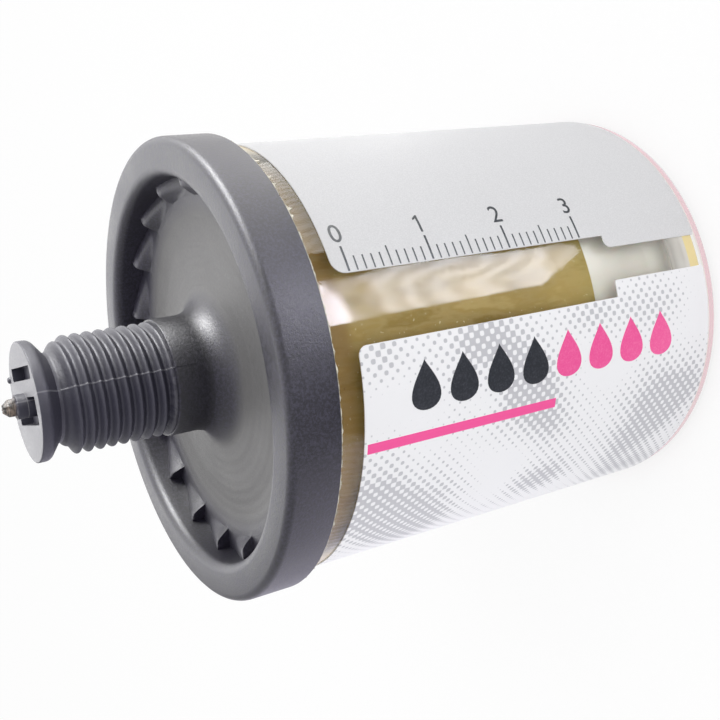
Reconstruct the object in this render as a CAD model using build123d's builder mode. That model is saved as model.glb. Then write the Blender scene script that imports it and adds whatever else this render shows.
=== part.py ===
from build123d import *
import os
from math import atan2, cos, degrees, radians, sin

# Automatic grease lubricator: a clear cup with a follower piston, closed by a moulded cap with a
# threaded outlet, and driven by a gas generator in the head end.
# +Z points out of the outlet. The origin is the middle of the flat head end that the part stands on,
# and the sight window faces -Y. All sizes are in millimetres.

os.makedirs("parts", exist_ok=True)

# cup
cup_d = 51.0  # outside
cup_wall = 1.3
cup_length = 60.4  # from the resting rim to the end inside the cap
cup_floor = 1.5  # head-end wall
head_recess = 1.2  # the head-end wall stands in from the rim by this much
rim_width = 2.5
rim_round = 1.2  # outer edge of the resting rim
cup_inner_round = 0.8
collar_wall = 1.4  # collar that holds the gas generator
collar_height = 6.3  # above the head-end wall's inner face

# cap
skirt_wall = 1.4
skirt_depth = 5.76  # from the cap's face to the skirt's free edge
groove_roof = 1.6  # cap material above the cup's end
recess_wall = 1.55  # between the cup groove and the dished recess
plate_depth = 6.0  # from the cap's face to the plate's underside
plate_wall = 1.5  # at the foot of the ratchet ring
dish_rise = 0.7  # the dished floor rises by this much towards the boss
cap_edge_round = 0.9
mouth_round = 0.8

# ratchet ring round the recess floor
tooth_count = 18
tooth_width = 2.3  # radial
tooth_rise = 2.2  # from the ramp's low edge to its high edge
tooth_foot = 0.1  # height of the ramp's low edge over the recess floor
tooth_root = 0.4  # how deep a tooth is rooted in the floor and the wall

# outlet neck
boss_d = 13.6
boss_height = 2.9  # above the cap's face
flare_round = 3.5
thread_d = 13.16  # over the crests of a G1/4 pipe thread
thread_length = 10.4
bore_d = 6.8
neck_d = 10.0  # at the break-off groove
lead_length = 1.75  # cone from the thread down to the groove
neck_length = 0.25
bore_end_gap = 0.25  # the blind bore ends this far beyond the groove

# closing disc that is broken off before use
disc_d = 13.3
disc_taper = 1.25  # cone from the groove up to the disc's rim
disc_band = 1.2  # cylindrical rim of the disc
disc_round = 0.15
pocket_depth = 1.3
pocket_turn = -8.0
low_pocket = (3.05, 9.0)  # width, length
low_pocket_at = (-0.97, -0.5)
high_pocket = (1.45, 9.0)
high_pocket_at = (3.12, -0.4)
gate_d = 2.7
gate_at = (-0.3, 0.0)
gate_height = 1.1  # above the disc's face
nib_d = 2.2
nib_tip_d = 0.9
nib_height = 1.35

# wrap label and its window
label_wall = 0.13
label_start = 2.0
label_gap = 2.9  # bare cup between the label and the cap's skirt
label_margin = 0.52  # bare border each side of the ring label
window_width = 7.5
window_step = 15.0  # the window is narrower over this length from the label's start
slit_width = 3.95
slit_shift = 0.22
window_corner = 1.75

# piston
piston_gap = 2.1  # above the head-end wall
skirt_length = 14.45
piston_wall = 1.3
seal_height = 0.8
seal_width = 1.4
seal_taper = 0.35  # the seal's foot stands in from its lip by this much
lip_height = 0.2
lip_width = 0.7
crown_height = 4.15  # above the seal's lip
crown_slope = 3.1  # radial run of the crown's flank
crown_wall = 1.6
hub_d = 10.0
hub_bore_d = 7.0
rib_count = 8
rib_wall = 1.2
rib_drop = 4.6  # depth of the ribs below the crown

# gas generator housing and its collar
generator_d = 28.0  # bore of the container's collar
flange_width = 1.7  # over the collar's bore radius
flange_height = 1.55
flange_proud = 0.85  # over the head-end wall's outer face
housing_wall = 2.35
housing_length = 13.65  # from the flange's face to the open end
housing_floor = 3.55  # from the flange's face to the cavity
ledge_height = 2.1
ledge_width = 1.0
ring_groove_at = 4.95  # middle of the sealing ring's groove, from the flange's face
ring_section_d = 1.6

# setting dial
dial_d = 16.0
dial_height = 1.65
dial_round = 0.4
pointer_width = 2.7
pointer_side = 3.2
pointer_edge = 2.25  # from the dial's edge to the middle of the pointer
pointer_depth = 0.55
shaft_d = 5.0
shaft_length = 2.9  # under the dial, up to the wiper's shoulder
shaft_tip_d = 3.0
shaft_tip_length = 0.7
key_across = 3.0
key_depth = 3.0
shaft_ring_d = 1.0
clip_height = 0.5
clip_d = 7.4
clip_groove = 0.5  # radial depth
clip_opening = 3.2
wiper_wall = 0.3
wiper_reach = 7.0
wiper_width = 1.4
wiper_gap = 0.1  # under the board

# board, cell and vent
board_height = 1.0
chip_length = 2.0
chip_width = 1.25
chip_height = 0.6
chip_inset = 2.4  # from the carrier's shelf to the middle of a chip
chip_angles = [20, 75, 140, 205, 300]
carrier_wall = 2.2
carrier_height = 6.0
carrier_shelf = 0.7
carrier_notches = 4
carrier_notch = 2.0
cell_height = 4.2
cell_lift = 1.6  # over the board
cell_edge = 0.6  # bevel of the can's edges
lid_rim = 1.6  # shoulder of the can round its raised lid
lid_height = 0.35
spring_wall = 0.2
spring_width = 2.5
spring_run = 3.0
spring_bend = 1.0  # half the run of the slanted middle
membrane_height = 0.2
vent_flange = 1.0
vent_hole_d = 1.2
vent_pitch = 4.0  # radial distance from one ring of holes to the next
vent_rings = 2
vent_ring_holes = 6  # in the first ring, and as many more in each ring further out

# clearances
skirt_clear = 0.1
groove_clear = 0.05
piston_clear = 0.2
seal_clear = 0.1
housing_clear = 0.05
flange_clear = 0.1
dial_clear = 0.15
dial_end_clear = 0.05
shaft_clear = 0.1
ring_clear = 0.02
board_clear = 0.1
piston_stop_gap = 0.5  # left between the crown and the plate when the cup is empty

# worked out: radii
cup_r = cup_d / 2
cup_in_r = cup_r - cup_wall
rim_in_r = cup_r - rim_width
skirt_in_r = cup_r + skirt_clear
cap_r = skirt_in_r + skirt_wall
groove_in_r = cup_in_r - groove_clear
recess_r = groove_in_r - recess_wall
tooth_in_r = recess_r - tooth_width
collar_in_r = generator_d / 2
collar_r = collar_in_r + collar_wall
flange_r = collar_in_r + flange_width
flange_seat_r = flange_r + flange_clear
housing_r = collar_in_r - housing_clear
cavity_r = housing_r - housing_wall
ledge_r = cavity_r - ledge_width
dial_seat_r = dial_d / 2 + dial_clear
shaft_hole_r = shaft_d / 2 + shaft_clear
piston_r = cup_in_r - piston_clear
seal_r = cup_in_r - seal_clear
seal_in_r = seal_r - seal_width
crown_r = seal_in_r - crown_slope
piston_in_r = piston_r - piston_wall
inner_r = cavity_r - board_clear
carrier_in_r = inner_r - carrier_wall
cell_r = carrier_in_r - board_clear
lid_r = cell_r - lid_rim
shelf_r = carrier_in_r - carrier_shelf
chip_r = shelf_r - chip_inset

# worked out: heights
cap_face_z = cup_length + groove_roof
skirt_end_z = cap_face_z - skirt_depth
plate_z = cap_face_z - plate_depth
floor_z = plate_z + plate_wall
boss_z = cap_face_z + boss_height
thread_end_z = boss_z + thread_length
neck_z = thread_end_z + lead_length
disc_base_z = neck_z + neck_length + disc_taper
disc_z = disc_base_z + disc_band
head_z = head_recess
cup_floor_z = head_z + cup_floor
flange_z = head_z - flange_proud
flange_seat_z = flange_z + flange_height
cavity_z = flange_z + housing_floor
board_z = cavity_z + ledge_height
housing_end_z = flange_z + housing_length
dial_back_z = flange_z + dial_height
dial_seat_z = dial_back_z + dial_end_clear
shaft_end_z = dial_back_z + shaft_length
ring_seat_z = dial_back_z + shaft_ring_d
clip_z = cavity_z + shaft_clear
piston_rear_z = cup_floor_z + piston_gap
seal_z = piston_rear_z + skirt_length
lip_z = seal_z + seal_height
crown_z = lip_z + crown_height
label_end_z = skirt_end_z - label_gap
board_top_z = board_z + board_height
cell_z = board_top_z + cell_lift
carrier_end_z = board_top_z + carrier_height
membrane_end_z = carrier_end_z + membrane_height

# how far the piston slides until its crown stops short of the plate
piston_travel = plate_z - piston_stop_gap - crown_z


def corner(x, y):
    """The corner of the sketch in hand that lies nearest to a point."""
    return vertices().sort_by_distance(Vertex(x, y, 0))[0]


# one saw tooth of the ratchet ring: a ring sector cut by a ramp that climbs anticlockwise
tooth_pitch = 360 / tooth_count
tooth_mid_r = recess_r - tooth_width / 2
ramp_slope = degrees(atan2(tooth_rise / 2, tooth_mid_r * sin(radians(tooth_pitch / 2))))
ramp_mid_z = floor_z + tooth_foot + tooth_rise / 2
ramp = Plane(
    origin=(0, 0, ramp_mid_z),
    x_dir=(1, 0, 0),
    z_dir=(0, -sin(radians(ramp_slope)), cos(radians(ramp_slope))),
)
with BuildPart() as ratchet_tooth:
    with BuildSketch(Plane.XY.offset(floor_z - tooth_root)):
        with BuildLine():
            near = CenterArc((0, 0), tooth_in_r, -tooth_pitch / 2, tooth_pitch)
            far = CenterArc((0, 0), recess_r + tooth_root, -tooth_pitch / 2, tooth_pitch)
            Line(near @ 0, far @ 0)
            Line(near @ 1, far @ 1)
        make_face()
    extrude(amount=tooth_root + tooth_foot + 2 * tooth_rise)
    split(bisect_by=ramp, keep=Keep.BOTTOM)

# cap: skirt and groove over the cup's end, dished recess, boss, neck and closing disc in one moulding
with BuildPart() as base_cap:
    with BuildSketch(Plane.XZ):
        with BuildLine():
            Polyline(
                (0, neck_z + neck_length + bore_end_gap),
                (bore_d / 2, neck_z + neck_length + bore_end_gap),
                (bore_d / 2, plate_z),
                (groove_in_r, plate_z),
                (groove_in_r, cup_length),
                (skirt_in_r, cup_length),
                (skirt_in_r, skirt_end_z),
                (cap_r, skirt_end_z),
                (cap_r, cap_face_z),
                (recess_r, cap_face_z),
                (recess_r, floor_z),
                (boss_d / 2, floor_z + dish_rise),
                (boss_d / 2, boss_z),
                (thread_d / 2, boss_z),
                (thread_d / 2, thread_end_z),
                (neck_d / 2, neck_z),
                (neck_d / 2, neck_z + neck_length),
                (disc_d / 2, disc_base_z),
                (disc_d / 2, disc_z),
                (0, disc_z),
                close=True,
            )
        make_face()
        fillet(corner(boss_d / 2, floor_z + dish_rise), radius=flare_round)
        fillet(corner(cap_r, cap_face_z), radius=cap_edge_round)
        fillet(corner(recess_r, cap_face_z), radius=mouth_round)
        fillet([corner(disc_d / 2, disc_z), corner(disc_d / 2, disc_base_z)], radius=disc_round)
    revolve(axis=Axis.Z)
    with PolarLocations(0, tooth_count, start_angle=-90):
        add(ratchet_tooth.part)
    with BuildSketch(Plane.XY.offset(disc_z).rotated((0, 0, pocket_turn))):
        with Locations(low_pocket_at):
            Rectangle(*low_pocket)
        with Locations(high_pocket_at):
            Rectangle(*high_pocket)
    extrude(amount=-pocket_depth, mode=Mode.SUBTRACT)
    with BuildSketch(Plane.XY.offset(disc_z - pocket_depth)):
        with Locations(gate_at):
            Circle(gate_d / 2)
    extrude(amount=pocket_depth + gate_height)
    with Locations((*gate_at, disc_z + gate_height)):
        Cone(nib_d / 2, nib_tip_d / 2, nib_height, align=(Align.CENTER, Align.CENTER, Align.MIN))
base_cap.part.label = "base_cap"
export_step(base_cap.part, "parts/base_cap.step")

# clear cup with its resting rim and the collar for the gas generator
with BuildPart() as container:
    with BuildSketch(Plane.XZ):
        with BuildLine():
            Polyline(
                (cup_r, 0),
                (cup_r, cup_length),
                (cup_in_r, cup_length),
                (cup_in_r, cup_floor_z),
                (collar_r, cup_floor_z),
                (collar_r, cup_floor_z + collar_height),
                (collar_in_r, cup_floor_z + collar_height),
                (collar_in_r, flange_seat_z),
                (flange_seat_r, flange_seat_z),
                (flange_seat_r, head_z),
                (rim_in_r, head_z),
                (rim_in_r, 0),
                close=True,
            )
        make_face()
        fillet(corner(cup_r, 0), radius=rim_round)
        fillet(corner(cup_in_r, cup_floor_z), radius=cup_inner_round)
    revolve(axis=Axis.Z)
container.part.label = "container"
export_step(container.part, "parts/container.step")

# wrap label: a thin sleeve with the sight window cut through its front
with BuildPart() as label_wrap:
    with BuildSketch(Plane.XY.offset(label_start)):
        Circle(cup_r + label_wall)
        Circle(cup_r, mode=Mode.SUBTRACT)
    extrude(amount=label_end_z - label_start)
    with BuildSketch(Plane.XZ):
        with Locations((slit_shift, label_start)):
            Rectangle(slit_width, window_step, align=(Align.CENTER, Align.MIN))
        with Locations((0, label_start + window_step)):
            Rectangle(window_width, cup_length, align=(Align.CENTER, Align.MIN))
        with Locations((0, label_end_z)):
            Rectangle(window_width + 2 * window_corner, window_corner, align=(Align.CENTER, Align.MAX))
        with Locations((0, label_end_z - window_corner)):
            with GridLocations(window_width + 2 * window_corner, 0, 2, 1):
                Circle(window_corner, mode=Mode.SUBTRACT)
    extrude(amount=cap_r, mode=Mode.SUBTRACT)
label_wrap.part.label = "label_wrap"
export_step(label_wrap.part, "parts/label_wrap.step")

# ring label on the head end
with BuildPart() as end_label:
    with BuildSketch(Plane.XY.offset(head_z - label_wall)):
        Circle(rim_in_r - label_margin)
        Circle(flange_seat_r + label_margin, mode=Mode.SUBTRACT)
    extrude(amount=label_wall)
end_label.part.label = "end_label"
export_step(end_label.part, "parts/end_label.step")

# piston: an inverted cup whose stepped crown carries the seal, ribbed inside
rib_in_z = crown_z - crown_wall
with BuildPart() as piston_body:
    with BuildSketch(Plane.XZ):
        with BuildLine():
            Polyline(
                (0, crown_z),
                (crown_r, crown_z),
                (seal_in_r, lip_z),
                (seal_in_r, seal_z),
                (piston_r, seal_z),
                (piston_r, piston_rear_z),
                (piston_in_r, piston_rear_z),
                (piston_in_r, seal_z - crown_wall),
                (seal_in_r - crown_wall, seal_z - crown_wall),
                (crown_r - crown_wall, rib_in_z),
                (0, rib_in_z),
                close=True,
            )
        make_face()
    revolve(axis=Axis.Z)
    with BuildSketch(Plane.XY.offset(rib_in_z - rib_drop)):
        with PolarLocations(0, rib_count):
            Rectangle(crown_r - crown_wall, rib_wall, align=(Align.MIN, Align.CENTER))
        Circle(hub_d / 2)
        Circle(hub_bore_d / 2, mode=Mode.SUBTRACT)
    extrude(amount=rib_drop)
piston_body.part.label = "piston_body"
export_step(piston_body.part, "parts/piston_body.step")

# seal seated on the piston's shoulder, its lip opening towards the cup's wall
with BuildPart() as piston_seal:
    with BuildSketch(Plane.XZ):
        with BuildLine():
            Polyline(
                (seal_in_r, seal_z),
                (seal_r - seal_taper, seal_z),
                (seal_r, lip_z - lip_height),
                (seal_r, lip_z),
                (seal_r - lip_width, lip_z - lip_height),
                (seal_in_r, lip_z - lip_height),
                close=True,
            )
        make_face()
    revolve(axis=Axis.Z)
piston_seal.part.label = "piston_seal"
export_step(piston_seal.part, "parts/piston_seal.step")

# grease between the piston and the cap's plate
with BuildPart() as grease_charge:
    with BuildSketch(Plane.XZ):
        with BuildLine():
            Polyline(
                (0, crown_z),
                (crown_r, crown_z),
                (seal_in_r, lip_z),
                (seal_r, lip_z),
                (seal_r, plate_z),
                (0, plate_z),
                close=True,
            )
        make_face()
    revolve(axis=Axis.Z)
grease_charge.part.label = "grease_charge"
export_step(grease_charge.part, "parts/grease_charge.step")

# gas generator housing: flange in the head end, groove for its seal, seat for the dial, ledge inside
ring_groove_r = collar_in_r - ring_section_d
ring_groove_z = flange_z + ring_groove_at
ring_groove_half = ring_section_d / 2 + flange_clear
with BuildPart() as generator_housing:
    with BuildSketch(Plane.XZ):
        with BuildLine():
            Polyline(
                (shaft_hole_r, ring_seat_z),
                (shaft_d / 2 + shaft_ring_d + shaft_clear, ring_seat_z),
                (shaft_d / 2 + shaft_ring_d + shaft_clear, dial_seat_z),
                (dial_seat_r, dial_seat_z),
                (dial_seat_r, flange_z),
                (flange_r, flange_z),
                (flange_r, flange_seat_z),
                (housing_r, flange_seat_z),
                (housing_r, ring_groove_z - ring_groove_half),
                (ring_groove_r, ring_groove_z - ring_groove_half),
                (ring_groove_r, ring_groove_z + ring_groove_half),
                (housing_r, ring_groove_z + ring_groove_half),
                (housing_r, housing_end_z),
                (cavity_r, housing_end_z),
                (cavity_r, board_z),
                (ledge_r, board_z),
                (ledge_r, cavity_z),
                (shaft_hole_r, cavity_z),
                close=True,
            )
        make_face()
    revolve(axis=Axis.Z)
generator_housing.part.label = "generator_housing"
export_step(generator_housing.part, "parts/generator_housing.step")

# sealing ring in the housing's groove
with BuildPart() as generator_o_ring:
    with BuildSketch(Plane.XZ):
        with Locations((collar_in_r - ring_section_d / 2, ring_groove_z)):
            Circle(ring_section_d / 2 - ring_clear)
    revolve(axis=Axis.Z)
generator_o_ring.part.label = "generator_o_ring"
export_step(generator_o_ring.part, "parts/generator_o_ring.step")

# setting dial with a hex key socket, a pointer recess and a shaft grooved for its clip
with BuildPart() as setting_dial:
    with BuildSketch(Plane.XZ):
        with BuildLine():
            Polyline(
                (0, flange_z),
                (dial_d / 2, flange_z),
                (dial_d / 2, dial_back_z),
                (shaft_d / 2, dial_back_z),
                (shaft_d / 2, clip_z),
                (shaft_d / 2 - clip_groove, clip_z),
                (shaft_d / 2 - clip_groove, clip_z + clip_height),
                (shaft_d / 2, clip_z + clip_height),
                (shaft_d / 2, shaft_end_z),
                (shaft_tip_d / 2, shaft_end_z),
                (shaft_tip_d / 2, shaft_end_z + shaft_tip_length),
                (0, shaft_end_z + shaft_tip_length),
                close=True,
            )
        make_face()
        fillet(corner(dial_d / 2, flange_z), radius=dial_round)
    revolve(axis=Axis.Z)
    with BuildSketch(Plane.XY.offset(flange_z)):
        RegularPolygon(key_across / 2, 6, major_radius=False)
    extrude(amount=key_depth, mode=Mode.SUBTRACT)
    with BuildSketch(Plane.XY.offset(flange_z)):
        with Locations((0, pointer_edge - dial_d / 2)):
            Triangle(
                a=pointer_width, b=pointer_side, c=pointer_side, align=Align.CENTER, rotation=180
            )
    extrude(amount=pointer_depth, mode=Mode.SUBTRACT)
setting_dial.part.label = "setting_dial"
export_step(setting_dial.part, "parts/setting_dial.step")

# sealing ring round the dial's shaft
with BuildPart() as dial_o_ring:
    with BuildSketch(Plane.XZ):
        with Locations((shaft_d / 2 + shaft_ring_d / 2, dial_back_z + shaft_ring_d / 2)):
            Circle(shaft_ring_d / 2 - ring_clear)
    revolve(axis=Axis.Z)
dial_o_ring.part.label = "dial_o_ring"
export_step(dial_o_ring.part, "parts/dial_o_ring.step")

# open clip in the shaft's groove
with BuildPart() as dial_clip:
    with BuildSketch(Plane.XY.offset(clip_z)):
        Circle(clip_d / 2)
        Circle(shaft_d / 2 - clip_groove, mode=Mode.SUBTRACT)
        Rectangle(clip_d, clip_opening, align=(Align.MIN, Align.CENTER), mode=Mode.SUBTRACT)
    extrude(amount=clip_height)
dial_clip.part.label = "dial_clip"
export_step(dial_clip.part, "parts/dial_clip.step")

# wiper on the shaft's tip, with two raised contacts under the board
pad_z = board_z - wiper_gap
with BuildPart() as wiper_contact:
    with BuildSketch(Plane.XY.offset(shaft_end_z)):
        Circle(shaft_d / 2)
        Rectangle(2 * wiper_reach, wiper_width)
        Circle(shaft_tip_d / 2, mode=Mode.SUBTRACT)
    extrude(amount=wiper_wall)
    with BuildSketch(Plane.XY.offset(shaft_end_z)):
        with GridLocations(2 * wiper_reach - wiper_width, 0, 2, 1):
            Circle(wiper_width / 2)
    extrude(amount=pad_z - shaft_end_z)
wiper_contact.part.label = "wiper_contact"
export_step(wiper_contact.part, "parts/wiper_contact.step")

# timing board on the housing's ledge, with a keying notch
with BuildPart() as circuit_board:
    with BuildSketch(Plane.XY.offset(board_z)):
        Circle(inner_r)
        with Locations((inner_r, 0)):
            Circle(ledge_width, mode=Mode.SUBTRACT)
    extrude(amount=board_height)
circuit_board.part.label = "circuit_board"
export_step(circuit_board.part, "parts/circuit_board.step")

# chips on the board, like pieces in one group
with BuildPart() as resistor_chips:
    for chip_angle in chip_angles:
        with Locations(Location((0, 0, board_top_z), (0, 0, chip_angle))):
            with Locations((chip_r, 0)):
                Box(
                    chip_length,
                    chip_width,
                    chip_height,
                    align=(Align.CENTER, Align.CENTER, Align.MIN),
                )
resistor_chips.part.label = "resistor_chips"
export_step(resistor_chips.part, "parts/resistor_chips.step")

# bent leaf between the board and the cell
with BuildPart() as contact_spring:
    with BuildSketch(Plane.XZ):
        with BuildLine():
            Polyline(
                (-spring_run, board_top_z),
                (-spring_bend, board_top_z),
                (spring_bend, cell_z - spring_wall),
                (spring_run, cell_z - spring_wall),
                (spring_run, cell_z),
                (spring_bend - spring_wall, cell_z),
                (-spring_bend - spring_wall, board_top_z + spring_wall),
                (-spring_run, board_top_z + spring_wall),
                close=True,
            )
        make_face()
    extrude(amount=spring_width / 2, both=True)
contact_spring.part.label = "contact_spring"
export_step(contact_spring.part, "parts/contact_spring.step")

# carrier ring with a shelf under the cell and notches that let the gas past
with BuildPart() as cell_carrier:
    with BuildSketch(Plane.XZ):
        with BuildLine():
            Polyline(
                (inner_r, board_top_z),
                (inner_r, carrier_end_z),
                (carrier_in_r, carrier_end_z),
                (carrier_in_r, cell_z),
                (shelf_r, cell_z),
                (shelf_r, board_top_z),
                close=True,
            )
        make_face()
    revolve(axis=Axis.Z)
    with BuildSketch(Plane.XY.offset(carrier_end_z)):
        with PolarLocations(0, carrier_notches):
            Rectangle(inner_r + carrier_notch, carrier_notch, align=(Align.MIN, Align.CENTER))
    extrude(amount=-carrier_notch, mode=Mode.SUBTRACT)
cell_carrier.part.label = "cell_carrier"
export_step(cell_carrier.part, "parts/cell_carrier.step")

# sealed gas-generating cell: a rolled can with its raised lid
with BuildPart() as gas_cell:
    with BuildSketch(Plane.XZ):
        with BuildLine():
            Polyline(
                (0, cell_z),
                (cell_r, cell_z),
                (cell_r, cell_z + cell_height - lid_height),
                (lid_r, cell_z + cell_height - lid_height),
                (lid_r, cell_z + cell_height),
                (0, cell_z + cell_height),
                close=True,
            )
        make_face()
        chamfer(corner(cell_r, cell_z), length=cell_edge)
        chamfer(corner(cell_r, cell_z + cell_height - lid_height), length=cell_edge)
    revolve(axis=Axis.Z)
gas_cell.part.label = "gas_cell"
export_step(gas_cell.part, "parts/gas_cell.step")

# membrane over the carrier
with BuildPart() as vent_membrane:
    with BuildSketch(Plane.XY.offset(carrier_end_z)):
        Circle(inner_r)
    extrude(amount=membrane_height)
vent_membrane.part.label = "vent_membrane"
export_step(vent_membrane.part, "parts/vent_membrane.step")

# perforated cover that plugs the housing's open end
with BuildPart() as vent_cover:
    with BuildSketch(Plane.XY.offset(membrane_end_z)):
        Circle(inner_r)
    extrude(amount=housing_end_z - membrane_end_z)
    with BuildSketch(Plane.XY.offset(housing_end_z)):
        Circle(housing_r)
    extrude(amount=vent_flange)
    with BuildSketch(Plane.XY.offset(housing_end_z + vent_flange)):
        Circle(vent_hole_d / 2)
        for ring in range(1, vent_rings + 1):
            with PolarLocations(ring * vent_pitch, ring * vent_ring_holes):
                Circle(vent_hole_d / 2)
    extrude(amount=membrane_end_z - housing_end_z - vent_flange, mode=Mode.SUBTRACT)
vent_cover.part.label = "vent_cover"
export_step(vent_cover.part, "parts/vent_cover.step")

print("piston travel", round(piston_travel, 3))
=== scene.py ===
import bpy
import bmesh
from functools import cached_property
from math import ceil, cos, degrees, exp, floor, pi, radians, sin, tan
from mathutils import Matrix, Vector, noise


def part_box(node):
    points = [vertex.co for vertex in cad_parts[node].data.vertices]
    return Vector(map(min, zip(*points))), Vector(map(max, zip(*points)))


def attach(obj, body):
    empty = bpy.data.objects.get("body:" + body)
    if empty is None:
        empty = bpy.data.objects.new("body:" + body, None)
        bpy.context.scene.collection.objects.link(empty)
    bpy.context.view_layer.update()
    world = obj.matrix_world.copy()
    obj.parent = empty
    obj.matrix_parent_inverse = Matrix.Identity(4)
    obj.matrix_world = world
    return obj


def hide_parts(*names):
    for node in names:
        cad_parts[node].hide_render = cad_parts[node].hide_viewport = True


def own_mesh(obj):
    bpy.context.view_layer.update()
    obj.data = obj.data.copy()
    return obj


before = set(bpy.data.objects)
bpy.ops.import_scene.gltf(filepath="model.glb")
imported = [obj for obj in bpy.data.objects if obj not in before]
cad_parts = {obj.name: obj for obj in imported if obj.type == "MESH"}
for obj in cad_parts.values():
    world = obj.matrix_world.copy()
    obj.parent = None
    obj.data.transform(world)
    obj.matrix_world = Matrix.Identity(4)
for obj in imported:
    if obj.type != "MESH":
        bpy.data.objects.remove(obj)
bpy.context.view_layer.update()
mm = 0.001  # sizes below are in millimetres, meshes are in metres
bpy.context.scene.view_settings.view_transform = "Standard"
print("frame loaded")


# node maths

class Sock:  # wraps a socket, so that an expression on it adds its Math nodes
    def __init__(self, tree, socket):
        self.tree = tree
        self.socket = socket

    def calc(self, operation, *others):
        values = dict(enumerate((self, *others)))
        return self.tree.add("ShaderNodeMath", {"operation": operation}, values)

    def after(self, operation, first):  # the same with this value second
        return self.tree.add("ShaderNodeMath", {"operation": operation}, {0: first, 1: self})

    def __add__(self, other):
        return self.calc("ADD", other)

    def __sub__(self, other):
        return self.calc("SUBTRACT", other)

    def __rsub__(self, other):
        return self.after("SUBTRACT", other)

    def __mul__(self, other):
        return self.calc("MULTIPLY", other)

    def __truediv__(self, other):
        return self.calc("DIVIDE", other)

    def __rtruediv__(self, other):
        return self.after("DIVIDE", other)

    __radd__ = __add__
    __rmul__ = __mul__

    def between(self, low, high):
        return self.calc("GREATER_THAN", low) * self.calc("LESS_THAN", high)

    def smooth(self, low=0.3, high=0.7):  # 0 under low, 1 over high, eased between
        eased = {"interpolation_type": "SMOOTHSTEP"}
        return self.tree.add("ShaderNodeMapRange", eased, {0: self, 1: low, 2: high})


class NodeTree:  # adds nodes to an empty tree, with settings first and then values or links
    def __init__(self, tree):
        self.tree = tree
        self.tree.nodes.clear()

    def node(self, kind, settings=None, inputs=None):
        made = self.tree.nodes.new(kind)
        for key, value in (settings or {}).items():
            setattr(made, key, value)
        for key, value in (inputs or {}).items():
            if isinstance(value, Sock):
                self.tree.links.new(value.socket, made.inputs[key])
            else:
                made.inputs[key].default_value = value
        return made

    def add(self, kind, settings=None, inputs=None, out=0):
        return Sock(self, self.node(kind, settings, inputs).outputs[out])

    def split(self, vector):
        parts = self.node("ShaderNodeSeparateXYZ", None, {0: vector})
        return [Sock(self, parts.outputs[i]) for i in range(3)]

    def join(self, x, y, z):
        return self.add("ShaderNodeCombineXYZ", None, {0: x, 1: y, 2: z})

    def mixed(self, amount, first, second):  # shader mix
        return self.add("ShaderNodeMixShader", None, {0: amount, 1: first, 2: second})


class Mat(NodeTree):  # one material
    def __init__(self, name):
        self.material = bpy.data.materials.new(name)
        self.material.use_nodes = True
        super().__init__(self.material.node_tree)

    def finish(self, shader):
        self.node("ShaderNodeOutputMaterial", None, {"Surface": shader})
        return self.material

    @cached_property
    def place(self):  # object coordinates, in millimetres
        spot = self.add("ShaderNodeTexCoord", out="Object")
        return self.add("ShaderNodeVectorMath", {"operation": "SCALE"}, {0: spot, "Scale": 1 / mm})

    @cached_property
    def radius(self):  # distance from the axis
        x, y = self.split(self.place)[:2]
        return (x * x + y * y).calc("SQRT")

    def noise(self, scale, detail=2.0, rough=0.5, at=None):
        inputs = {"Vector": at or self.place, "Scale": scale, "Detail": detail, "Roughness": rough}
        return self.add("ShaderNodeTexNoise", None, inputs)

    def blend(self, amount, first, second):  # colour mix
        return self.add("ShaderNodeMix", {"data_type": "RGBA"}, {0: amount, 6: first, 7: second}, out=2)

    def bump(self, height, strength, distance):
        return self.add("ShaderNodeBump", None, {"Height": height, "Strength": strength, "Distance": distance})

    def plastic(self, colour, rough, normal=None, **fixed):
        inputs = {"Base Color": colour, "Roughness": rough}
        if normal is not None:
            inputs["Normal"] = normal
        inputs.update({key.replace("_", " "): value for key, value in fixed.items()})
        return self.add("ShaderNodeBsdfPrincipled", None, inputs)


class Geo(NodeTree):  # one Geometry Nodes tree with named inputs
    def __init__(self, name):
        super().__init__(bpy.data.node_groups.new(name, "GeometryNodeTree"))
        self.tree.interface.new_socket("Geometry", in_out="OUTPUT", socket_type="NodeSocketGeometry")
        self.group = self.tree.nodes.new("NodeGroupInput")
        self.values = {}

    def size(self, name, value, kind="NodeSocketFloat"):  # a named input with the value it gets
        made = self.tree.interface.new_socket(name, in_out="INPUT", socket_type=kind)
        self.values[made.identifier] = value
        return Sock(self, self.group.outputs[name])

    def build(self, name, geometry, material):  # realized, dressed and made a plain mesh
        whole = self.add("GeometryNodeRealizeInstances", None, {0: geometry})
        dressed = self.add("GeometryNodeSetMaterial", None, {0: whole, "Material": material})
        self.node("NodeGroupOutput", None, {0: dressed})
        host = linked("host", bpy.data.meshes.new("host"))
        grown = host.modifiers.new(name, "NODES")
        grown.node_group = self.tree
        for identifier, value in self.values.items():
            grown[identifier] = value
        mesh = grownMesh(host)
        bpy.data.objects.remove(host)
        return faceOut(finishObject(name, mesh, material, 30))


def rgb(r, g, b):  # display values 0..255 to linear
    def linear(v):
        v = v / 255
        return v / 12.92 if v <= 0.04045 else ((v + 0.055) / 1.055) ** 2.4

    return linear(r), linear(g), linear(b), 1.0


def cloudedLook(name, dark, light, cloud, span, rough, bump=None, grain=None):
    # two tones in a cloudy mix; cloud and grain are a noise's scale, detail and roughness
    mat = Mat(name)
    clouds = mat.noise(*cloud)
    normal = mat.bump(mat.noise(*grain) if grain else clouds, *bump) if bump else None
    return mat.finish(mat.plastic(mat.blend(clouds.smooth(*span), dark, light), rough, normal))


def inkLook(name, dark, light):
    return cloudedLook(name, dark, light, (4.0, 3.0, 0.7), (0.4, 0.75), 0.32)


# mesh helpers

def linked(name, data):  # a new object in the scene
    made = bpy.data.objects.new(name, data)
    bpy.context.collection.objects.link(made)
    return made


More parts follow.
